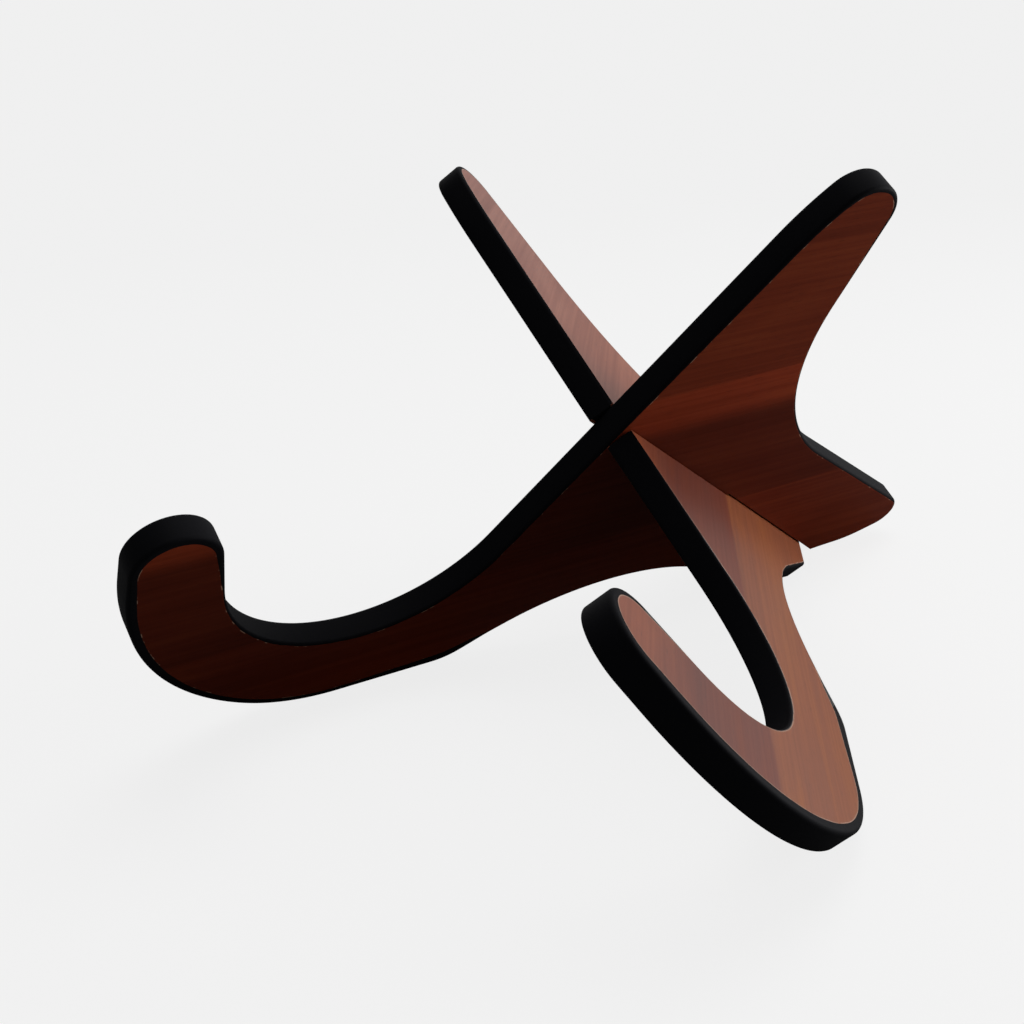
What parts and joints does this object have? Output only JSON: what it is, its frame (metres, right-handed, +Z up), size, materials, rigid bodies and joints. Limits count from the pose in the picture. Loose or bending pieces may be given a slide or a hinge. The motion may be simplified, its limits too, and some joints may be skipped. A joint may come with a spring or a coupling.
{
  "type": "violin stand",
  "caption": "Knock-down wooden violin stand: alike boards with hooked feet and leaning arms cross in an X on long halving slots.",
  "frame": {"origin": "on the floor, below the middle of the stand's box", "axes": "+Z up; the hooks face -Y and the feet +Y; seen from the front, +X is to the right"},
  "size_m": [0.2062, 0.3002, 0.1601],
  "materials": {
    "mahogany_board": "satin lacquered mahogany faces with black lacquered rounded edges"
  },
  "bodies": {
    "front_slotted_board": {"front_slotted_board": "mahogany_board"},
    "rear_slotted_board": {"rear_slotted_board": "mahogany_board"}
  },
  "joints": [
    {"name": "board_lift", "type": "slide", "parent": "front_slotted_board", "child": "rear_slotted_board", "axis": [0, -0.8421, 0.5392], "range_m": [0, 0.165]}
  ]
}
